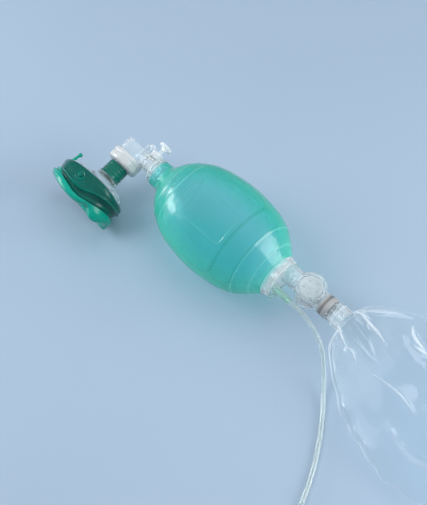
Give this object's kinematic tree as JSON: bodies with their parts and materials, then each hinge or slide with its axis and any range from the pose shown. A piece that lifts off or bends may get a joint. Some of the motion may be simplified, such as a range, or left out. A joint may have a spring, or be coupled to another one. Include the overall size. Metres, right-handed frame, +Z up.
{
  "type": "bag valve mask resuscitator",
  "caption": "Manual resuscitator: soft face mask, clear patient valve with relief valve, squeeze bag, intake valve, film reservoir and coiled oxygen tube, laid out flat.",
  "frame": {"origin": "centre of the laid-out set's footprint, on the table it rests on", "axes": "+X along the squeeze bag's axis from the patient valve to the reservoir, +Z up, mask on the -Y side; the bag's centre is at (-0.1308, 0.0971, 0.065) m"},
  "size_m": [0.7166, 0.4567, 0.13],
  "materials": {
    "bag_green": "translucent soft plastic, satin",
    "mask_green": "soft translucent plastic, glossy",
    "clear_plastic": "clear, polished",
    "frosted_plastic": "frosted",
    "frosted_disc": "frosted silicone",
    "silicone": "soft, satin",
    "seal_rubber": "satin",
    "spring_steel": "drawn wire",
    "grey_plastic": "satin",
    "clear_film": "thin clear film",
    "clear_tube": "clear soft tube",
    "tinted_tube": "green tinted, clear"
  },
  "bodies": {
    "bag_assembly": {"squeeze_bag": "bag_green", "neck_socket": "clear_plastic", "rear_collar": "clear_plastic", "intake_housing": "clear_plastic", "intake_seat": "clear_plastic", "reservoir_chamber": "clear_plastic", "chamber_top_cover": "clear_plastic", "chamber_bottom_cover": "clear_plastic", "coupling_sleeve": "grey_plastic"},
    "grip_panel": {"bag_grip_panel": "bag_green"},
    "intake_valve": {"intake_disc": "silicone"},
    "air_inlet_valve": {"air_inlet_disc": "frosted_disc"},
    "overflow_valve": {"overflow_disc": "frosted_disc"},
    "patient_valve": {"valve_housing": "clear_plastic", "exhalation_collar": "frosted_plastic", "swivel_o_ring": "seal_rubber", "popoff_body": "clear_plastic", "popoff_spring": "spring_steel", "monitor_port": "clear_plastic", "cap_tether_ring": "clear_plastic"},
    "popoff": {"popoff_plunger": "clear_plastic", "popoff_knob": "clear_plastic"},
    "port_cap": {"monitor_cap": "clear_plastic"},
    "duckbill": {"duckbill_valve": "silicone"},
    "exhalation_valve": {"exhalation_disc": "silicone"},
    "port": {"patient_port": "clear_plastic"},
    "mask": {"mask_dome": "clear_plastic", "mask_cushion": "mask_green", "mask_connector_sleeve": "mask_green", "mask_inflation_tube": "mask_green", "strap_peg_near": "mask_green", "strap_peg_far": "mask_green"},
    "inflation_plug": {"mask_inflation_plug": "mask_green"},
    "reservoir": {"reservoir_connector": "clear_plastic", "reservoir_bag": "clear_film"},
    "oxygen_line": {"oxygen_tube": "clear_tube", "tube_cuff": "tinted_tube", "tube_end_connector": "tinted_tube"}
  },
  "joints": [
    {"name": "bag_squeeze", "type": "slide", "parent": "bag_assembly", "child": "grip_panel", "axis": [0, 0, -1], "range_m": [0, 0.025], "stiffness_N_per_m": 400},
    {"name": "intake_valve_lift", "type": "slide", "parent": "bag_assembly", "child": "intake_valve", "axis": [-1, 0, 0], "range_m": [0, 0.002], "stiffness_N_per_m": 20},
    {"name": "air_inlet_lift", "type": "slide", "parent": "bag_assembly", "child": "air_inlet_valve", "axis": [0, 0, -1], "range_m": [0, 0.0018], "stiffness_N_per_m": 30},
    {"name": "overflow_lift", "type": "slide", "parent": "bag_assembly", "child": "overflow_valve", "axis": [0, 0, -1], "range_m": [0, 0.0018], "stiffness_N_per_m": 30},
    {"name": "valve_swivel", "type": "hinge", "parent": "bag_assembly", "child": "patient_valve", "pos_m": [-0.2988, 0.0971, 0.065], "axis": [1, 0, 0], "continuous": true},
    {"name": "popoff_lift", "type": "slide", "parent": "patient_valve", "child": "popoff", "axis": [0, 0.9781, 0.2079], "range_m": [0, 0.003], "stiffness_N_per_m": 300, "deforming": ["popoff_spring"]},
    {"name": "port_cap_hinge", "type": "hinge", "parent": "patient_valve", "child": "port_cap", "pos_m": [-0.2914, 0.10884, 0.06749], "axis": [0, -0.2079, 0.9781], "range_deg": [0, 90]},
    {"name": "duckbill_lift", "type": "slide", "parent": "patient_valve", "child": "duckbill", "axis": [0, 0.9781, 0.2079], "range_m": [0, 0.0015], "stiffness_N_per_m": 30},
    {"name": "exhalation_lift", "type": "slide", "parent": "patient_valve", "child": "exhalation_valve", "axis": [0, 0.9781, 0.2079], "range_m": [0, 0.0018], "stiffness_N_per_m": 20},
    {"name": "port_swivel", "type": "hinge", "parent": "patient_valve", "child": "port", "pos_m": [-0.2988, 0.0971, 0.065], "axis": [0, 0.9781, 0.2079], "continuous": true},
    {"name": "mask_pull_off", "type": "slide", "parent": "port", "child": "mask", "axis": [0, -0.9781, -0.2079], "range_m": [0, 0.022]},
    {"name": "inflation_plug_pull", "type": "slide", "parent": "mask", "child": "inflation_plug", "axis": [0.2079, 0.9568, 0.2034], "range_m": [0, 0.008]},
    {"name": "reservoir_swivel", "type": "hinge", "parent": "bag_assembly", "child": "reservoir", "pos_m": [0.0292, 0.1101, 0.065], "axis": [1, 0, 0], "range_deg": [-120, 35]},
    {"name": "oxygen_line_pull_off", "type": "slide", "parent": "bag_assembly", "child": "oxygen_line", "axis": [1, 0, 0], "range_m": [0, 0.014]}
  ]
}
